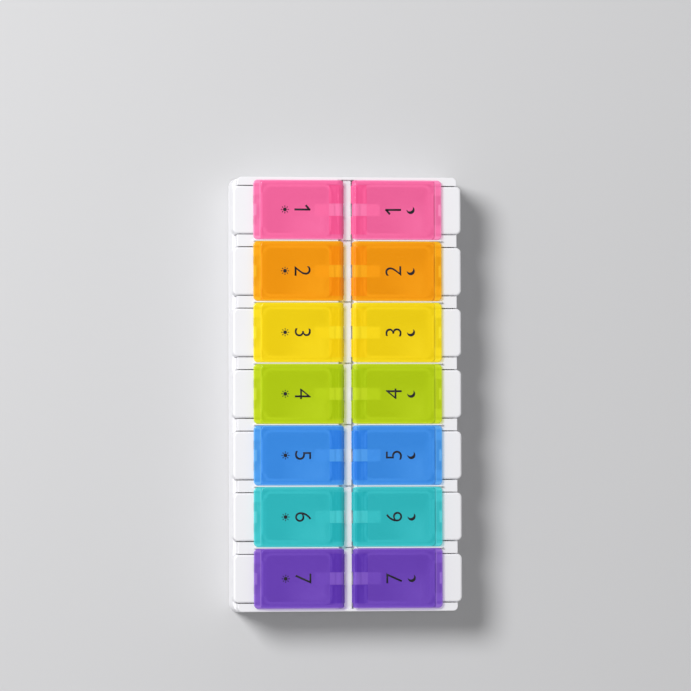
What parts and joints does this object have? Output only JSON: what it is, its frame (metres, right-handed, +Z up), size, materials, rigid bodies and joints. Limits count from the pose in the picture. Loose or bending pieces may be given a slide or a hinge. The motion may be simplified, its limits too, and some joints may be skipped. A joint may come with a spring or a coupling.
{
  "type": "pill organizer",
  "caption": "Weekly pill organizer box with rows of wells under tinted lids hinged along a central spine, each lid latched by a push button on the outer side.",
  "frame": {"origin": "middle of the underside", "axes": "+Z up, +Y along the box towards row 1, +X towards the evening column"},
  "size_m": [0.086, 0.1642, 0.025],
  "materials": {
    "white_plastic": "satin",
    "well_plastic": "satin",
    "spring_plastic": "satin",
    "steel_wire": "bright drawn",
    "spring_steel": "bright rolled",
    "pink_lid": "clear gloss",
    "orange_lid": "clear gloss",
    "yellow_lid": "clear gloss",
    "green_lid": "clear gloss",
    "blue_lid": "clear gloss",
    "teal_lid": "clear gloss",
    "purple_lid": "clear gloss"
  },
  "bodies": {
    "housing": {"base_housing": "white_plastic", "top_frame": "white_plastic", "well_strip_am": "well_plastic", "hinge_pins_am": "steel_wire", "spring_comb_am": "spring_plastic", "button_spring_am_1": "spring_steel", "button_spring_am_2": "spring_steel", "button_spring_am_3": "spring_steel", "button_spring_am_4": "spring_steel", "button_spring_am_5": "spring_steel", "button_spring_am_6": "spring_steel", "button_spring_am_7": "spring_steel", "well_strip_pm": "well_plastic", "hinge_pins_pm": "steel_wire", "spring_comb_pm": "spring_plastic", "button_spring_pm_1": "spring_steel", "button_spring_pm_2": "spring_steel", "button_spring_pm_3": "spring_steel", "button_spring_pm_4": "spring_steel", "button_spring_pm_5": "spring_steel", "button_spring_pm_6": "spring_steel", "button_spring_pm_7": "spring_steel"},
    "lid_am_1": {"lid_am_1": "pink_lid"},
    "button_am_1": {"button_am_1": "white_plastic"},
    "lid_am_2": {"lid_am_2": "orange_lid"},
    "button_am_2": {"button_am_2": "white_plastic"},
    "lid_am_3": {"lid_am_3": "yellow_lid"},
    "button_am_3": {"button_am_3": "white_plastic"},
    "lid_am_4": {"lid_am_4": "green_lid"},
    "button_am_4": {"button_am_4": "white_plastic"},
    "lid_am_5": {"lid_am_5": "blue_lid"},
    "button_am_5": {"button_am_5": "white_plastic"},
    "lid_am_6": {"lid_am_6": "teal_lid"},
    "button_am_6": {"button_am_6": "white_plastic"},
    "lid_am_7": {"lid_am_7": "purple_lid"},
    "button_am_7": {"button_am_7": "white_plastic"},
    "lid_pm_1": {"lid_pm_1": "pink_lid"},
    "button_pm_1": {"button_pm_1": "white_plastic"},
    "lid_pm_2": {"lid_pm_2": "orange_lid"},
    "button_pm_2": {"button_pm_2": "white_plastic"},
    "lid_pm_3": {"lid_pm_3": "yellow_lid"},
    "button_pm_3": {"button_pm_3": "white_plastic"},
    "lid_pm_4": {"lid_pm_4": "green_lid"},
    "button_pm_4": {"button_pm_4": "white_plastic"},
    "lid_pm_5": {"lid_pm_5": "blue_lid"},
    "button_pm_5": {"button_pm_5": "white_plastic"},
    "lid_pm_6": {"lid_pm_6": "teal_lid"},
    "button_pm_6": {"button_pm_6": "white_plastic"},
    "lid_pm_7": {"lid_pm_7": "purple_lid"},
    "button_pm_7": {"button_pm_7": "white_plastic"}
  },
  "joints": [
    {"name": "lid_hinge_am_1", "type": "hinge", "parent": "housing", "child": "lid_am_1", "pos_m": [-0.0033, 0.069, 0.023], "axis": [0, 1, 0], "range_deg": [0, 90]},
    {"name": "button_slide_am_1", "type": "slide", "parent": "housing", "child": "button_am_1", "axis": [1, 0, 0], "range_m": [0, 0.001], "stiffness_N_per_m": 600, "deforming": ["button_spring_am_1"]},
    {"name": "lid_hinge_am_2", "type": "hinge", "parent": "housing", "child": "lid_am_2", "pos_m": [-0.0033, 0.046, 0.023], "axis": [0, 1, 0], "range_deg": [0, 90]},
    {"name": "button_slide_am_2", "type": "slide", "parent": "housing", "child": "button_am_2", "axis": [1, 0, 0], "range_m": [0, 0.001], "stiffness_N_per_m": 600, "deforming": ["button_spring_am_2"]},
    {"name": "lid_hinge_am_3", "type": "hinge", "parent": "housing", "child": "lid_am_3", "pos_m": [-0.0033, 0.023, 0.023], "axis": [0, 1, 0], "range_deg": [0, 90]},
    {"name": "button_slide_am_3", "type": "slide", "parent": "housing", "child": "button_am_3", "axis": [1, 0, 0], "range_m": [0, 0.001], "stiffness_N_per_m": 600, "deforming": ["button_spring_am_3"]},
    {"name": "lid_hinge_am_4", "type": "hinge", "parent": "housing", "child": "lid_am_4", "pos_m": [-0.0033, 0, 0.023], "axis": [0, 1, 0], "range_deg": [0, 90]},
    {"name": "button_slide_am_4", "type": "slide", "parent": "housing", "child": "button_am_4", "axis": [1, 0, 0], "range_m": [0, 0.001], "stiffness_N_per_m": 600, "deforming": ["button_spring_am_4"]},
    {"name": "lid_hinge_am_5", "type": "hinge", "parent": "housing", "child": "lid_am_5", "pos_m": [-0.0033, -0.023, 0.023], "axis": [0, 1, 0], "range_deg": [0, 90]},
    {"name": "button_slide_am_5", "type": "slide", "parent": "housing", "child": "button_am_5", "axis": [1, 0, 0], "range_m": [0, 0.001], "stiffness_N_per_m": 600, "deforming": ["button_spring_am_5"]},
    {"name": "lid_hinge_am_6", "type": "hinge", "parent": "housing", "child": "lid_am_6", "pos_m": [-0.0033, -0.046, 0.023], "axis": [0, 1, 0], "range_deg": [0, 90]},
    {"name": "button_slide_am_6", "type": "slide", "parent": "housing", "child": "button_am_6", "axis": [1, 0, 0], "range_m": [0, 0.001], "stiffness_N_per_m": 600, "deforming": ["button_spring_am_6"]},
    {"name": "lid_hinge_am_7", "type": "hinge", "parent": "housing", "child": "lid_am_7", "pos_m": [-0.0033, -0.069, 0.023], "axis": [0, 1, 0], "range_deg": [0, 90]},
    {"name": "button_slide_am_7", "type": "slide", "parent": "housing", "child": "button_am_7", "axis": [1, 0, 0], "range_m": [0, 0.001], "stiffness_N_per_m": 600, "deforming": ["button_spring_am_7"]},
    {"name": "lid_hinge_pm_1", "type": "hinge", "parent": "housing", "child": "lid_pm_1", "pos_m": [0.0033, 0.069, 0.023], "axis": [0, -1, 0], "range_deg": [0, 90]},
    {"name": "button_slide_pm_1", "type": "slide", "parent": "housing", "child": "button_pm_1", "axis": [-1, 0, 0], "range_m": [0, 0.001], "stiffness_N_per_m": 600, "deforming": ["button_spring_pm_1"]},
    {"name": "lid_hinge_pm_2", "type": "hinge", "parent": "housing", "child": "lid_pm_2", "pos_m": [0.0033, 0.046, 0.023], "axis": [0, -1, 0], "range_deg": [0, 90]},
    {"name": "button_slide_pm_2", "type": "slide", "parent": "housing", "child": "button_pm_2", "axis": [-1, 0, 0], "range_m": [0, 0.001], "stiffness_N_per_m": 600, "deforming": ["button_spring_pm_2"]},
    {"name": "lid_hinge_pm_3", "type": "hinge", "parent": "housing", "child": "lid_pm_3", "pos_m": [0.0033, 0.023, 0.023], "axis": [0, -1, 0], "range_deg": [0, 90]},
    {"name": "button_slide_pm_3", "type": "slide", "parent": "housing", "child": "button_pm_3", "axis": [-1, 0, 0], "range_m": [0, 0.001], "stiffness_N_per_m": 600, "deforming": ["button_spring_pm_3"]},
    {"name": "lid_hinge_pm_4", "type": "hinge", "parent": "housing", "child": "lid_pm_4", "pos_m": [0.0033, 0, 0.023], "axis": [0, -1, 0], "range_deg": [0, 90]},
    {"name": "button_slide_pm_4", "type": "slide", "parent": "housing", "child": "button_pm_4", "axis": [-1, 0, 0], "range_m": [0, 0.001], "stiffness_N_per_m": 600, "deforming": ["button_spring_pm_4"]},
    {"name": "lid_hinge_pm_5", "type": "hinge", "parent": "housing", "child": "lid_pm_5", "pos_m": [0.0033, -0.023, 0.023], "axis": [0, -1, 0], "range_deg": [0, 90]},
    {"name": "button_slide_pm_5", "type": "slide", "parent": "housing", "child": "button_pm_5", "axis": [-1, 0, 0], "range_m": [0, 0.001], "stiffness_N_per_m": 600, "deforming": ["button_spring_pm_5"]},
    {"name": "lid_hinge_pm_6", "type": "hinge", "parent": "housing", "child": "lid_pm_6", "pos_m": [0.0033, -0.046, 0.023], "axis": [0, -1, 0], "range_deg": [0, 90]},
    {"name": "button_slide_pm_6", "type": "slide", "parent": "housing", "child": "button_pm_6", "axis": [-1, 0, 0], "range_m": [0, 0.001], "stiffness_N_per_m": 600, "deforming": ["button_spring_pm_6"]},
    {"name": "lid_hinge_pm_7", "type": "hinge", "parent": "housing", "child": "lid_pm_7", "pos_m": [0.0033, -0.069, 0.023], "axis": [0, -1, 0], "range_deg": [0, 90]},
    {"name": "button_slide_pm_7", "type": "slide", "parent": "housing", "child": "button_pm_7", "axis": [-1, 0, 0], "range_m": [0, 0.001], "stiffness_N_per_m": 600, "deforming": ["button_spring_pm_7"]}
  ]
}
